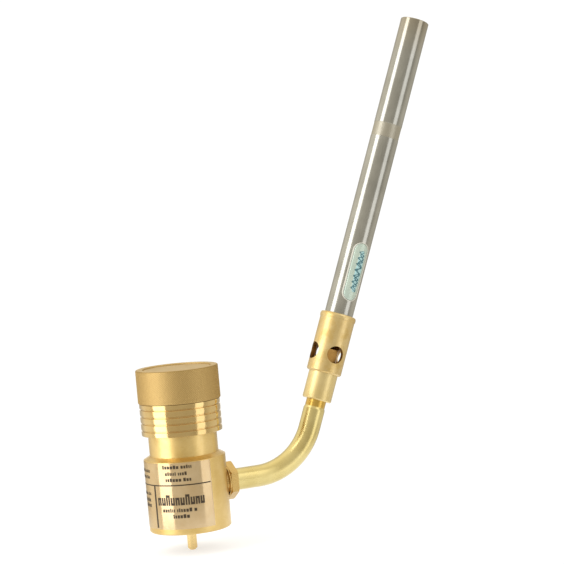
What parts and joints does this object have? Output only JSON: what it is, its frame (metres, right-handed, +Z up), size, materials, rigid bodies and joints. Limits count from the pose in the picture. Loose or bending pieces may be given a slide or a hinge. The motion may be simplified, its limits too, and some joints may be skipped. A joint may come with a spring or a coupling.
{
  "type": "lampwork torch",
  "caption": "Hand torch for a disposable gas cylinder: brass regulator body with ribbed and knurled knob, bent gas tube, air mixer sleeve and long steel burner tube.",
  "frame": {"origin": "centre of the valve body's bottom (inlet) face, on the body axis", "axes": "+Z up the body axis from the cylinder inlet to the control knob; +X along the gas outlet, the side the burner leans to; the burner axis lies in the XZ plane"},
  "size_m": [0.1513, 0.0354, 0.2207],
  "materials": {
    "turned_brass": "satin, turned",
    "drawn_brass": "bright drawn",
    "stainless": "fine brushed",
    "spring_steel": "smooth",
    "sintered_bronze": "matte, porous",
    "seal_rubber": "matte",
    "gold_film": "glossy gold film with brown print",
    "printed_film": "matte pale film with a teal mark"
  },
  "bodies": {
    "housing": {"valve_body": "turned_brass", "inlet_probe": "turned_brass", "inlet_seal": "seal_rubber", "inlet_filter": "sintered_bronze", "valve_seat": "seal_rubber", "poppet_spring": "spring_steel", "diaphragm": "seal_rubber", "slip_ring": "spring_steel", "bonnet": "turned_brass", "regulating_spring": "spring_steel", "outlet_nut": "turned_brass", "outlet_olive": "turned_brass", "gas_tube": "drawn_brass", "orifice_collar": "turned_brass", "jet_filter": "sintered_bronze", "gas_jet": "turned_brass", "mixer_sleeve": "turned_brass", "burner_tube": "stainless", "swirl_vane": "turned_brass", "flame_holder": "stainless", "body_label": "gold_film", "tube_label": "printed_film"},
    "button": {"spring_button": "turned_brass"},
    "knob": {"control_knob": "turned_brass", "knob_cap": "turned_brass", "knob_screw": "spring_steel", "adjusting_screw": "spring_steel", "stop_ring": "spring_steel"},
    "valve_stem": {"poppet": "turned_brass", "diaphragm_plate": "turned_brass"}
  },
  "joints": [
    {"name": "knob_turn", "type": "hinge", "parent": "button", "child": "knob", "pos_m": [0, 0, 0.055], "axis": [0, 0, 1], "range_deg": [-720, 0]},
    {"name": "screw_travel", "type": "slide", "parent": "housing", "child": "button", "axis": [0, 0, 1], "range_m": [-0.003, 0], "deforming": ["regulating_spring"]},
    {"name": "valve_lift", "type": "slide", "parent": "housing", "child": "valve_stem", "axis": [0, 0, 1], "range_m": [-0.0006, 0], "deforming": ["poppet_spring", "diaphragm"]}
  ],
  "couplings": [
    {"joint": "knob_turn", "follows": "screw_travel", "rad_per_m": 4188.8},
    {"joint": "valve_lift", "follows": "screw_travel", "ratio": 0.19999}
  ]
}
